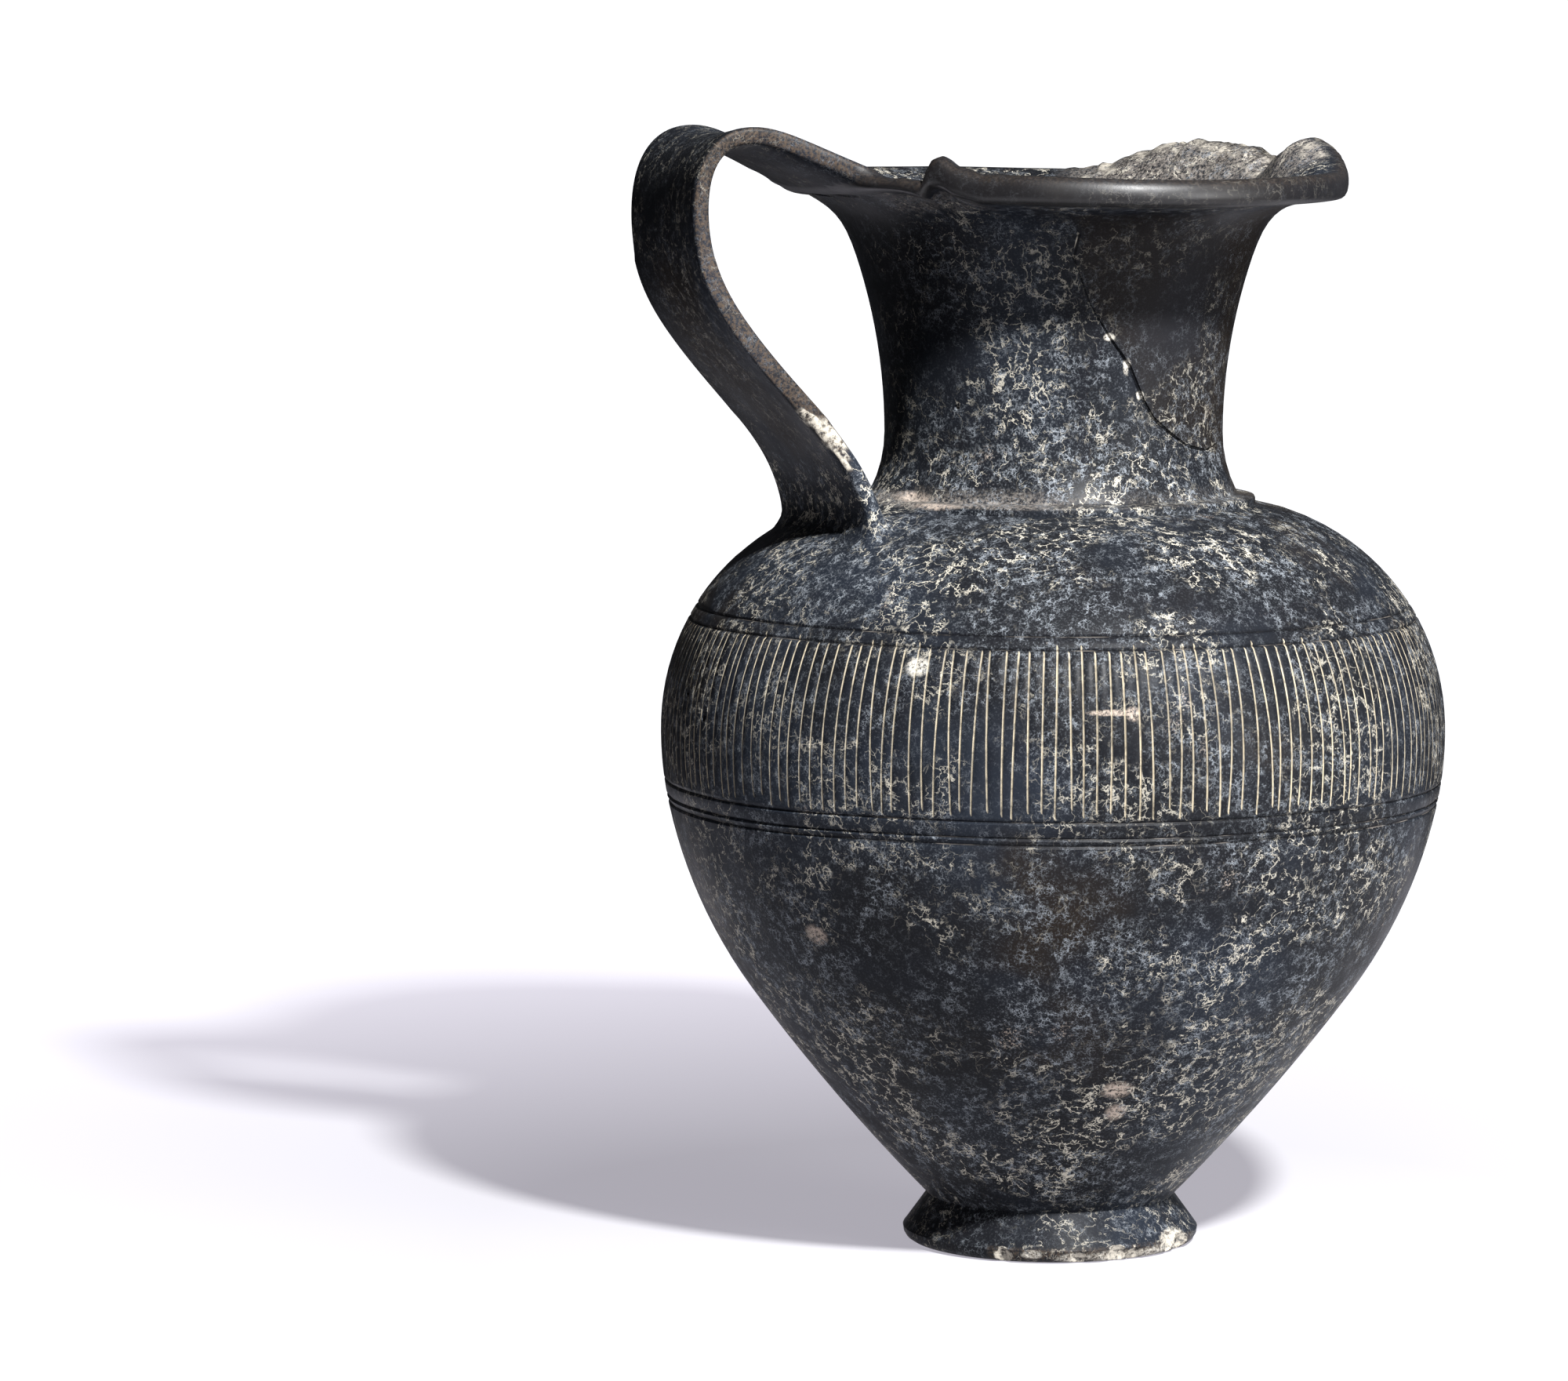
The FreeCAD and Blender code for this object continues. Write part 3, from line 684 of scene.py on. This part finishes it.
pits = ((-175.3, 139.9, 99.0, 1.5, 2.6), (177.8, 143.6, 98.2, 1.1, 1.1),
        (-148.7, 214.3, 43.4, 0.9, 1.0))
crack = ((-114.8, 264.3, 1.1), (-108.5, 257.7, 1.1), (-109.6, 251.7, 1.1), (-104.2, 240.4, 1.1),
         (-98.0, 232.6, 1.3), (-90.2, 224.7, 2.2), (-84.5, 216.1, 2.2), (-80.3, 211.6, 2.2),
         (-73.8, 208.0, 2.2), (-65.2, 204.6, 1.3), (-52.9, 202.8, 1.3), (-42.0, 204.0, 1.3))
crackWidth = 0.88


def digOut(clay):
    bpy.ops.object.select_all(action="DESELECT")
    tools = []
    for angle, height, out, width, tall in pits:
        bpy.ops.mesh.primitive_ico_sphere_add(subdivisions=3, radius=1)
        tool = bpy.context.object
        place = around(out, angle, height)
        for vertex in tool.data.vertices:
            rough = 1 + 0.25 * noise.noise(vertex.co * 2 + place)
            grown = Vector((width * vertex.co.x, width * vertex.co.y, tall * vertex.co.z))
            vertex.co = (place + rough * grown) * mm
        tools.append(tool)
    line = bpy.data.curves.new("crack", "CURVE")
    line.dimensions = "3D"
    line.bevel_depth = 0.5 * crackWidth * mm
    line.bevel_resolution = 1
    line.use_fill_caps = True
    path = line.splines.new("POLY")
    path.points.add(len(crack) - 1)
    for point, (angle, height, width) in zip(path.points, crack):
        point.co = (*(around(skinOfNeck(height), angle, height) * mm), 1)
        point.radius = width
    tube = bpy.data.objects.new("crack", line)
    bpy.context.collection.objects.link(tube)
    onlyThis(tube)
    bpy.ops.object.convert(target="MESH")
    tools.append(bpy.context.object)
    for tool in tools:
        onlyThis(clay)
        cut = clay.modifiers.new("dig", "BOOLEAN")
        cut.object = tool
        cut.operation = "DIFFERENCE"
        cut.solver = "EXACT"
        bpy.ops.object.modifier_apply(modifier="dig")
        bpy.data.objects.remove(tool)


# Reach of the neck's and the flare's outer skin at a height.
def skinOfNeck(height):
    if height < clayForm["neckTop"]:
        return neckRows(0, Vector(clayForm["neckFoot"]), [height])[0][0]
    guides, outerShare = mouthGuides(-110), 0.45
    shares = evenly(0, outerShare, 60)
    walk = [blendOf(guides, smoothWeights(len(guides), share)) for share in shares]
    return min(walk, key=lambda place: abs(place[1] - height))[0]


# Where dirt, wear and the mend lie, as vertex values that the clay's material reads.

wear = {
    "grime": ((0, 0.45), (10, 0.5), (22, 1.0), (70, 0.95), (108, 0.72), (120, 0.5), (158, 0.55),
              (170, 0.85), (190, 0.95), (215, 0.8), (238, 0.42), (262, 0.4), (268, 0.2),
              (286, 0.3)),  # height, how much pale dirt clings there
    "strapGrime": 0.3,
    "mouthGrime": 0.9,
    "insideGrime": 0.7,
    "mendCleaned": 0.45,  # share of the dirt that the mender took off
    "footWear": 0.7,
    "lipBand": 5.0,  # width of the lip that hands have rubbed
    "mouthFrom": 263.5,
    "chippedBelow": 216,  # the strap's edge has lost flakes up to this height
}


def crackAngle(height):
    for (angle, high, _), (nextAngle, low, _) in zip(crack, crack[1:]):
        if low <= height <= high:
            return angle + (nextAngle - angle) * (high - height) / (high - low)
    return None


def markClay(clay):
    for name in ("grime", "worn", "lip", "mend", "dust"):
        clay.data.attributes.new(name, "FLOAT", "POINT")
    grime, worn, lip, mend, dust, raw = [
        clay.data.attributes[name] for name in ("grime", "worn", "lip", "mend", "dust", "raw")]
    for vertex in clay.data.vertices:
        place, index = vertex.co / mm, vertex.index
        z, out, angle = place.z, reach(place), math.degrees(turnOf(place))
        beyondLip = out > lipRadius(angle) + 1 or z > clayForm["lipTop"] + 2.5
        onStrap = place.x < -58 and abs(place.y) < 36 and z > 192 and beyondLip
        amount = eased(wear["grime"], max(0, z))
        if onStrap:
            amount = wear["strapGrime"]
            side = ease((abs(vertex.normal.y) - 0.5) / 0.25)
            worn.data[index].value = side
            if place.y < 0 and z < wear["chippedBelow"]:
                chipped = 0.9 * side * ease((wear["chippedBelow"] - z) / 6)
                raw.data[index].value = max(raw.data[index].value, chipped)
        elif z > wear["mouthFrom"]:
            edge, top = lipRadius(angle), lipTop(angle)
            lip.data[index].value = ease((out - edge + wear["lipBand"]) / 4.0)
            worn.data[index].value = 0.3 * ease((z - top + 2.4) / 2) * ease((out - edge + 4) / 3)
            if z > top - 3.2:
                bare = 0.8 * torn(angle) * (angle > -60) * (0.5 + noise.noise(place * 0.22))
                raw.data[index].value = max(raw.data[index].value, bare)
            if out < edge - wear["lipBand"]:
                amount = wear["mouthGrime"]
                dust.data[index].value = 0.6 * torn(angle)
        if z < 3.5 and out > 36 and -140 < angle < -40:
            worn.data[index].value = wear["footWear"]
        edge = crackAngle(z)
        if edge is not None and out < 60 and z > 200:
            mend.data[index].value = ease((angle - edge) / 3) * ease((20 - angle) / 20)
            amount *= 1 - wear["mendCleaned"] * mend.data[index].value
        onCollar = abs(z - 190.9) < 1.6 and 45 < out < 51
        if onCollar:
            dust.data[index].value = 0.5 * ease((-100 - angle) / 30) + 0.15
        onFloor = 4.6 < z < 16.6 and out < 27
        inNeck = z > 200 and out < throatSkin(z) + 1
        grime.data[index].value = wear["insideGrime"] if onFloor or inNeck else amount


# Reach of the neck's inner skin, near enough to tell the inside from the outside.
def throatSkin(z):
    return 37.5 + 0.004 * (z - 206) ** 2


# Finish.

# Inputs are (name or number, value) pairs, and a value that is another node's output is linked.
def addNode(tree, kind, inputs=(), output=0, **settings):
    node = tree.nodes.new(kind)
    for name, value in settings.items():
        setattr(node, name, value)
    for name, value in inputs:
        if isinstance(value, bpy.types.NodeSocket):
            tree.links.new(value, node.inputs[name])
        else:
            node.inputs[name].default_value = value
    return node.outputs[output]


bucchero = {
    "deep": "#08080a",  # shadowed bottom of a turned line
    "black": "#131417",
    "blue": "#1a1e25",
    "brown": "#1b1714",
    "haze": "#777c82",  # film of etched specks
    "root": "#a9a498",
    "chalk": "#b5b0a6",
    "pink": "#988b80",
    "rawClay": "#a39d92",
    "wornEdge": "#40372f",
    "darkEdge": "#120f0e",
    "fill": "#aea38d",  # lime that sits in the scratched lines
    "tan": "#88817a",
    "blotchSize": 48 * mm,
    "rootSpacing": 9 * mm,
    "fibreSpacing": 2.7 * mm,
    "speckSize": 0.55 * mm,
    "striationSize": 0.8 * mm,  # real strokes are half as wide, too fine to show here
    "crumbSize": 0.9 * mm,
    "fillGaps": 2.2 * mm,
    "breakSize": 1.6 * mm,
    "grainSize": 0.35 * mm,
    "reliefDepth": 0.06 * mm,
    "ior": 1.5,
    "reflection": 0.05,  # porous clay reflects less than glass of its IOR
}


# Lime and pale dirt at places that the photograph shows, (angle, height, half width, half height).
limeSpots = {
    "chalk": ((-135.1, 155.4, 3.4, 3.0), (-97.4, 232.2, 1.7, 1.1),
              (-90.7, 224.7, 1.2, 2.4), (-85.3, 217.5, 1.2, 1.3),
              (-57.0, 3.6, 6.5, 4.2), (-70.0, 1.0, 8.0, 2.4), (-90.0, 1.2, 9.0, 2.2),
              (-106.0, 1.4, 5.0, 1.6), (-122.0, 2.4, 3.0, 1.4)),
    "pink": ((-106.5, 145.3, 7.0, 0.9), (-103.6, 145.0, 2.0, 2.0), (-100.1, 48.4, 4.5, 4.0),
             (-154.9, 87.5, 4.0, 3.2), (-99.0, 42.0, 3.0, 4.0), (-150.0, 191.0, 10.0, 1.8),
             (-164.0, 191.4, 8.0, 2.2)),
}


# Reach of the outer skin at any height, from the foot to the mouth.
def skinOf(height):
    if height > clayForm["neckFoot"][1]:
        return skinOfNeck(height)
    waist = Vector(clayForm["waist"])
    if height < waist.y:
        return clayForm["footEdge"][0]
    collar = Vector(clayForm["collar"])
    return alongArcs(bodyArcs(0, waist, collar), [min(height, collar.y)])[0][0]


# Burnished bucchero: fine clay fired black without air and rubbed with a pebble, so it has a
# soft sheen. Roots have etched it in the ground, and lime and pale dirt sit in every scratch.

def makeBucchero():
    look, spotDepth = bucchero, 3 * mm
    material = bpy.data.materials.new("burnishedBucchero")
    material.use_nodes = True
    tree = material.node_tree
    shader = tree.nodes["Principled BSDF"]
    place = addNode(tree, "ShaderNodeTexCoord", output="Object")
    marks = {name: addNode(tree, "ShaderNodeAttribute", output="Fac", attribute_name=name)
             for name in ("grime", "mend", "lip", "worn", "dust", "scratch", "turned", "raw")}

    # soft-edged patches, where a cloud of noise passes from low to high
    def patches(size, low, high, detail=3, rough=0.5, shift=(0, 0, 0), bottom=0.0, top=1.0):
        moved = addNode(tree, "ShaderNodeMapping", [("Vector", place), ("Location", shift)])
        mist = addNode(tree, "ShaderNodeTexNoise", [
            ("Vector", moved), ("Scale", 1 / size), ("Detail", detail), ("Roughness", rough)])
        return addNode(tree, "ShaderNodeMapRange", [
            ("Value", mist), ("From Min", low), ("From Max", high), ("To Min", bottom),
            ("To Max", top)], interpolation_type="SMOOTHSTEP")

    # thin wandering lines, where a cloud of noise crosses its middle value
    def threads(size, width, shift):
        moved = addNode(tree, "ShaderNodeMapping", [("Vector", place), ("Location", shift)])
        mist = addNode(tree, "ShaderNodeTexNoise", [
            ("Vector", moved), ("Scale", 1 / size), ("Detail", 6), ("Roughness", 0.55),
            ("Distortion", 0.4)])
        off = addNode(tree, "ShaderNodeMath", [(0, mist), (1, 0.5)], operation="SUBTRACT")
        away = addNode(tree, "ShaderNodeMath", [(0, off)], operation="ABSOLUTE")
        return addNode(tree, "ShaderNodeMapRange", [
            ("Value", away), ("From Min", width), ("From Max", 0.25 * width)])

    # short lines that fork, as cracks and fine roots leave; width is a share of their spacing
    def web(size, width):
        bent = addNode(tree, "ShaderNodeTexNoise", [
            ("Vector", place), ("Scale", 1.3 / size), ("Detail", 3), ("Roughness", 0.7)],
            output="Color")
        moved = addNode(tree, "ShaderNodeVectorMath", [
            (0, bent), (1, (1.5 * size,) * 3), (2, place)], operation="MULTIPLY_ADD")
        cells = addNode(tree, "ShaderNodeTexVoronoi", [("Vector", moved), ("Scale", 1 / size)],
                        output="Distance", feature="DISTANCE_TO_EDGE")
        return addNode(tree, "ShaderNodeMapRange", [
            ("Value", cells), ("From Min", width), ("From Max", 0.3 * width)])

    # a spot on the skin, in degrees and millimetres
    def spot(angle, height, wide, tall):
        centre = around(skinOf(height), angle, height) * mm
        local = addNode(tree, "ShaderNodeMapping", [
            ("Vector", place), ("Location", centre), ("Rotation", (0, 0, math.radians(angle))),
            ("Scale", (spotDepth, wide * mm, tall * mm))], vector_type="TEXTURE")
        away = addNode(tree, "ShaderNodeVectorMath", [(0, local)], output="Value",
                       operation="LENGTH")
        return addNode(tree, "ShaderNodeMapRange", [
            ("Value", away), ("From Min", 1.0), ("From Max", 0.5)])

    # where a mark passes from low to high
    cuts = {}
    for name, mark, low, high in (("filled", "scratch", 0.05, 0.45), ("groove", "turned", 0.3, 1.0),
                                  ("grooveFloor", "turned", 0.8, 1.0), ("bared", "raw", 0.3, 0.9)):
        cuts[name] = addNode(tree, "ShaderNodeMapRange", [
            ("Value", marks[mark]), ("From Min", low), ("From Max", high)],
            interpolation_type="SMOOTHSTEP")

    blotch, fibre, root = look["blotchSize"], look["fibreSpacing"], look["rootSpacing"]
    speck, dirt = look["speckSize"], marks["grime"]
    mottled = patches(0.5 * blotch, 0.38, 0.62, 5, 0.65, shift=(0.1, 0.5, 0.2), bottom=0.2)
    specks = patches(speck, 0.5, 0.72, rough=0.7)
    strewn = patches(1.3 * fibre, 0.47, 0.6, 4, 0.7, shift=(0.7, 0, 0))
    rootPlaces = patches(0.6 * blotch, 0.43, 0.57, 4, 0.6, shift=(0.9, 0.1, 0.4))
    gaps = patches(fibre, 0.42, 0.54, shift=(0.2, 0.6, 0.8))
    crust = patches(0.5 * blotch, 0.62, 0.7, 7, 0.75, shift=(0.5, 0.8, 0.3))
    crumbled = patches(look["crumbSize"], 0.38, 0.58, 5, 0.8, shift=(0.2, 0.2, 0.7))
    grit = patches(1.4 * speck, 0.38, 0.66, 4, 0.7, shift=(0, 0.9, 0))
    thin = patches(look["fillGaps"], 0.3, 0.56, 4, 0.7, shift=(0.3, 0.3, 0), bottom=0.45)
    lost = patches(9 * look["fillGaps"], 0.35, 0.65, shift=(0.8, 0.3, 0), bottom=0.6)
    sparse = patches(4 * look["fillGaps"], 0.5, 0.7, shift=(0.6, 0.3, 0))

    # layers from the fired clay outwards: colour, whether it is matt, and the shares it is made of
    layers = [
        ("blue", False, (patches(blotch, 0.42, 0.7, 4),)),
        ("brown", False, (patches(blotch, 0.56, 0.72, shift=(0.31, 0.2, 0.1)),)),
        ("brown", False, (marks["mend"], 0.5)),
        ("haze", True, (mottled, specks, dirt, 0.38)),
        ("haze", True, (web(fibre, 0.045), strewn, dirt, mottled)),
        ("haze", True, (web(0.56 * fibre, 0.06), strewn, dirt, mottled)),
        ("root", True, (threads(root, 0.011, (0.4, 0, 0)), rootPlaces, gaps, dirt)),
        ("root", True, (web(0.6 * root, 0.028), rootPlaces, gaps, dirt)),
        ("pink", False, (crust, specks, dirt, 1.6))]
    layers += [(name, False, (spot(*one), crumbled)) for name, spots in limeSpots.items()
               for one in spots]
    layers += [
        ("darkEdge", False, (marks["lip"], 0.7)),
        ("wornEdge", False, (marks["worn"], grit)),
        ("tan", False, (marks["dust"], grit)),
        ("fill", False, (cuts["filled"], thin, lost, 0.8)),
        ("deep", False, (cuts["groove"], 0.6)),
        ("tan", False, (cuts["grooveFloor"], sparse, 0.6)),
        ("rawClay", True, (cuts["bared"], patches(look["breakSize"], 0.36, 0.6, 5, 0.7)))]
    colour, soil = linear(look["black"]), 0.0
    for name, matt, shares in layers:
        cover = shares[0]
        for share in shares[1:]:
            cover = addNode(tree, "ShaderNodeMath", [(0, cover), (1, share)],
                            operation="MULTIPLY", use_clamp=True)
        colour = addNode(tree, "ShaderNodeMix", [
            (0, cover), (6, colour), (7, linear(look[name]))], output=2, data_type="RGBA")
        if matt:
            soil = addNode(tree, "ShaderNodeMath", [(0, soil), (1, cover)], operation="MAXIMUM")
    tree.links.new(colour, shader.inputs["Base Color"])

    # the pebble left a sheen, dirt and breaks are rough, and the lip is rubbed by hands
    shader.inputs["IOR"].default_value = look["ior"]
    sheen = patches(0.3 * blotch, 0.3, 0.7, 4, bottom=0.36, top=0.48)
    rough = addNode(tree, "ShaderNodeMath", [(0, soil), (1, 0.35), (2, sheen)],
                    operation="MULTIPLY_ADD", use_clamp=True)
    tree.links.new(rough, shader.inputs["Roughness"])
    gloss = addNode(tree, "ShaderNodeMath", [(0, marks["lip"]), (1, 0.3), (2, look["reflection"])],
                    operation="MULTIPLY_ADD", use_clamp=True)
    tree.links.new(gloss, shader.inputs["Specular IOR Level"])

    # relief of pebble strokes, of the film of dirt and of the torn clay's grain
    along = addNode(tree, "ShaderNodeMapping", [("Vector", place), ("Scale", (1, 1, 0.25))])
    strokes = addNode(tree, "ShaderNodeTexNoise", [
        ("Vector", along), ("Scale", 1 / look["striationSize"]), ("Detail", 4), ("Roughness", 0.6)])
    grain = addNode(tree, "ShaderNodeTexNoise", [
        ("Vector", place), ("Scale", 1 / look["grainSize"]), ("Detail", 3)])
    film = addNode(tree, "ShaderNodeMath", [(0, mottled), (1, specks)], operation="MULTIPLY")
    relief = addNode(tree, "ShaderNodeMath", [(0, film), (1, 0.5), (2, strokes)],
                     operation="MULTIPLY_ADD")
    bared = addNode(tree, "ShaderNodeMath", [(0, grain), (1, marks["raw"])], operation="MULTIPLY")
    relief = addNode(tree, "ShaderNodeMath", [(0, bared), (1, 3.0), (2, relief)],
                     operation="MULTIPLY_ADD")
    bump = addNode(tree, "ShaderNodeBump", [
        ("Height", relief), ("Strength", 0.35), ("Distance", look["reliefDepth"])], output="Normal")
    tree.links.new(bump, shader.inputs["Normal"])
    return material


# Studio: a round sheet of pale paper, a small hard softbox high on the right, a wide low one
# beside it and a dim room.

studio = {
    "cameraTurn": math.radians(25.0),  # the photograph's angle round the jug
    "cameraAside": math.radians(2.437),  # the jug stands right of the picture's middle
    "cameraTilt": math.radians(6.0),
    "cameraDistance": 1.6,
    "cameraHeight": 0.3085,
    "focalPixels": 8081,
    "imageWidth": 2000,
    "aimHeight": 0.12,
    "key": {"aside": math.radians(24.5), "height": math.radians(42.0), "distance": 1.3,
            "size": 0.11, "power": 60.0},
    "fill": {"aside": math.radians(58.0), "height": math.radians(6.0), "distance": 1.4,
             "size": 0.6, "power": 15.0},
    "room": "#e9ebf5",
    "roomLight": 0.05,
    "backdrop": "#fbfbfd",
    "backdropLight": 1.2,
    "floorRadius": 0.5,
    "paper": "#8a8a8c",
    "paperRoughness": 0.9,
    "paperGlow": "#f6f2ff",
    "glowNear": (0.15, 0.44),  # distance from the jug, strength
    "glowFar": (0.46, 0.82),
}


def makeCamera():
    lens = bpy.data.cameras.new("camera")
    lens.sensor_width = 36
    lens.sensor_fit = "HORIZONTAL"
    lens.lens = studio["focalPixels"] / studio["imageWidth"] * lens.sensor_width
    camera = bpy.data.objects.new("camera", lens)
    turn = studio["cameraTurn"]
    camera.location = (-studio["cameraDistance"] * math.sin(turn),
                       -studio["cameraDistance"] * math.cos(turn), studio["cameraHeight"])
    camera.rotation_euler = (math.pi / 2 - studio["cameraTilt"], 0, studio["cameraAside"] - turn)
    bpy.context.collection.objects.link(camera)
    bpy.context.scene.camera = camera


def makeSoftbox(name, box):
    light = bpy.data.lights.new(name, "AREA")
    light.shape = "DISK"
    light.energy = box["power"]
    light.size = box["size"]
    lamp = bpy.data.objects.new(name, light)
    turn = box["aside"] - studio["cameraTurn"]
    level, lift = math.cos(box["height"]), math.sin(box["height"])
    way = Vector((level * math.sin(turn), -level * math.cos(turn), lift))
    lamp.location = way * box["distance"] + Vector((0, 0, studio["aimHeight"]))
    lamp.rotation_euler = (-way).to_track_quat("-Z", "Y").to_euler()
    bpy.context.collection.objects.link(lamp)


# A dim room that shows white behind the jug.
def makeRoom():
    world = bpy.context.scene.world or bpy.data.worlds.new("studio")
    bpy.context.scene.world = world
    world.use_nodes = True
    tree = world.node_tree
    dim = tree.nodes["Background"]
    dim.inputs["Color"].default_value = linear(studio["room"])
    dim.inputs["Strength"].default_value = studio["roomLight"]
    white = addNode(tree, "ShaderNodeBackground", [
        ("Color", linear(studio["backdrop"])), ("Strength", studio["backdropLight"])])
    seen = addNode(tree, "ShaderNodeLightPath", output="Is Camera Ray")
    both = addNode(tree, "ShaderNodeMixShader", [(0, seen), (1, dim.outputs[0]), (2, white)])
    tree.links.new(both, tree.nodes["World Output"].inputs["Surface"])


# Matt white paper, with a glow that grows outwards and stands for the light of a big studio,
# so that the far paper goes white and the jug's shadow stays grey.
def makePaper():
    paper = bpy.data.materials.new("whitePaper")
    paper.use_nodes = True
    tree = paper.node_tree
    shader = tree.nodes["Principled BSDF"]
    shader.inputs["Base Color"].default_value = linear(studio["paper"])
    shader.inputs["Roughness"].default_value = studio["paperRoughness"]
    shader.inputs["Emission Color"].default_value = linear(studio["paperGlow"])
    place = addNode(tree, "ShaderNodeTexCoord", output="Object")
    away = addNode(tree, "ShaderNodeVectorMath", [(0, place)], output="Value", operation="LENGTH")
    (near, dull), (far, bright) = studio["glowNear"], studio["glowFar"]
    glow = addNode(tree, "ShaderNodeMapRange", [
        ("Value", away), ("From Min", near), ("From Max", far), ("To Min", dull),
        ("To Max", bright)])
    tree.links.new(glow, shader.inputs["Emission Strength"])
    return paper


def makeStudio():
    makeCamera()
    makeSoftbox("key", studio["key"])
    makeSoftbox("fill", studio["fill"])
    makeRoom()
    bpy.context.scene.view_settings.view_transform = "Standard"
    bpy.ops.object.select_all(action="DESELECT")
    bpy.ops.mesh.primitive_circle_add(vertices=96, radius=studio["floorRadius"], fill_type="NGON")
    floor = bpy.context.object
    floor.name = "floor"
    floor.data.materials.append(makePaper())


clay = spinClay()
print("clay spun", len(clay.data.polygons))
scratchUprights(clay)
print("frieze scratched", len(clay.data.polygons))
lute(clay, makeStrap())
print("strap luted on", len(clay.data.polygons))
breakEdges(clay)
digOut(clay)
print("edges broken and crack cut", len(clay.data.polygons))
markClay(clay)
clay.data.materials.clear()
clay.data.materials.append(makeBucchero())
onlyThis(clay)
bpy.ops.object.shade_smooth_by_angle(angle=math.radians(38))
print("clay worn and finished")
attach(clay, "root")
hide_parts("oinochoe")
makeStudio()
print("studio set")
